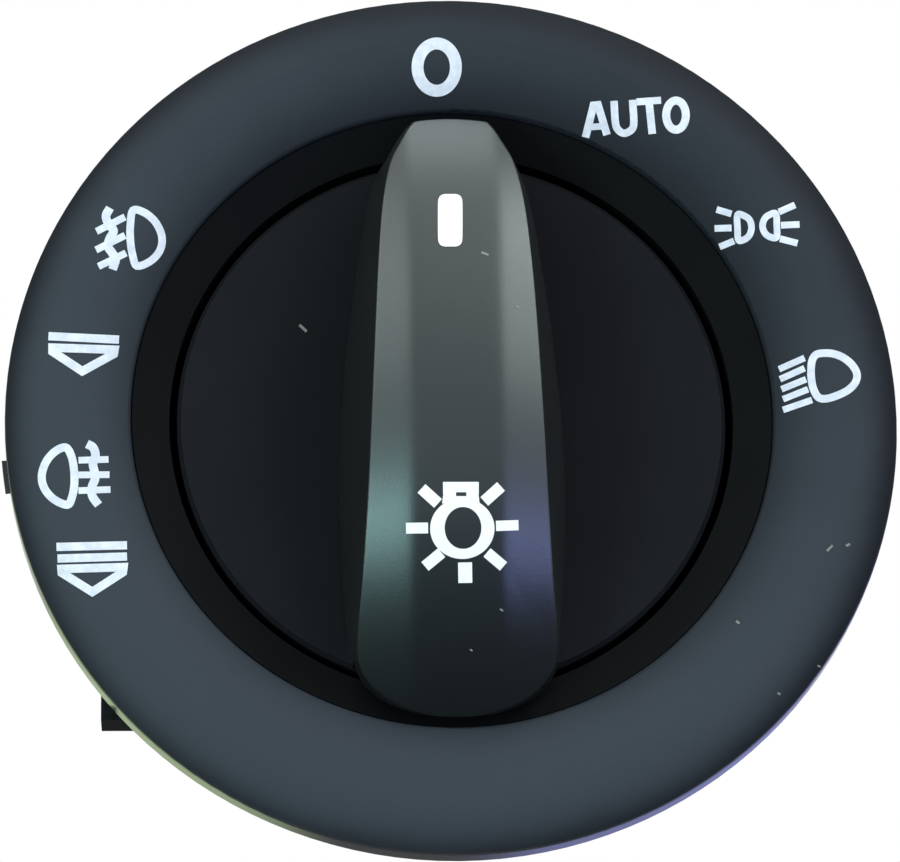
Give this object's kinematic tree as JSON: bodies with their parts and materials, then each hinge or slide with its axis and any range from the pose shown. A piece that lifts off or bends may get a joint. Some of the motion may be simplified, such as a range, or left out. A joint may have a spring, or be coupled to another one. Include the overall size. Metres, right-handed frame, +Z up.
{
  "type": "rotary headlight switch",
  "caption": "Round dashboard light switch with a crowned bezel, a sunken ring and a disc with a tapered grip bar that turns through light positions and pulls out for fog lamps.",
  "frame": {"origin": "on the knob's axis, in the plane where the bezel's rim rests on the dash panel", "axes": "+Y along the knob's axis away from the driver and into the panel, +X to the driver's right, +Z up, with the knob at its off position"},
  "size_m": [0.0763, 0.0536, 0.076],
  "materials": {
    "bezel_plastic": "soft-touch charcoal with a fine grain",
    "recess_plastic": "near-black, fine grain",
    "clear_plastic": "clear moulded light guide",
    "housing_plastic": "black glass-filled nylon, dull",
    "circuit_board": "green solder mask on glass-fibre board",
    "plated_copper": "plated contact arcs",
    "lamp_package": "white lamp bodies",
    "tinned_brass": "tinned brass strip",
    "spring_steel": "rolled spring steel, slightly stained",
    "zinc_plated_steel": "zinc-plated screw heads",
    "natural_plastic": "natural acetal",
    "contact_bronze": "phosphor bronze",
    "disc_plastic": "black, satin",
    "grip_lacquer": "satin charcoal lacquer on plastic",
    "white_window": "white translucent insert"
  },
  "bodies": {
    "root": {"bezel": "bezel_plastic", "recess_ring": "recess_plastic", "light_guide_ring": "clear_plastic", "front_housing": "housing_plastic", "rear_cover": "housing_plastic", "circuit_board": "circuit_board", "contact_tracks": "plated_copper", "leds": "lamp_package", "terminal_pins": "tinned_brass", "detent_spring": "spring_steel", "pull_detent_spring": "spring_steel", "pull_contacts": "tinned_brass", "cover_screws": "zinc_plated_steel", "upper_panel_clip": "spring_steel", "lower_panel_clip": "spring_steel"},
    "turning": {"rotor": "natural_plastic", "contact_wiper": "contact_bronze", "rotor_clip": "spring_steel"},
    "knob": {"knob_dish": "disc_plastic", "knob_grip": "grip_lacquer", "indicator_window": "white_window", "knob_light_guide": "clear_plastic", "spindle": "natural_plastic", "knob_spring_clip": "spring_steel"},
    "carriage": {"pull_carriage": "natural_plastic", "pull_wiper": "contact_bronze"}
  },
  "joints": [
    {"name": "knob_turn", "type": "hinge", "parent": "root", "child": "turning", "pos_m": [0, 0, 0], "axis": [0, 1, 0], "range_deg": [0, 84], "deforming": ["detent_spring"]},
    {"name": "knob_pull", "type": "slide", "parent": "turning", "child": "knob", "axis": [0, -1, 0], "range_m": [0, 0.007]},
    {"name": "carriage_slide", "type": "slide", "parent": "root", "child": "carriage", "axis": [0, -1, 0], "range_m": [0, 0.007], "deforming": ["pull_detent_spring"]}
  ],
  "couplings": [
    {"joint": "carriage_slide", "follows": "knob_pull", "ratio": 1}
  ]
}
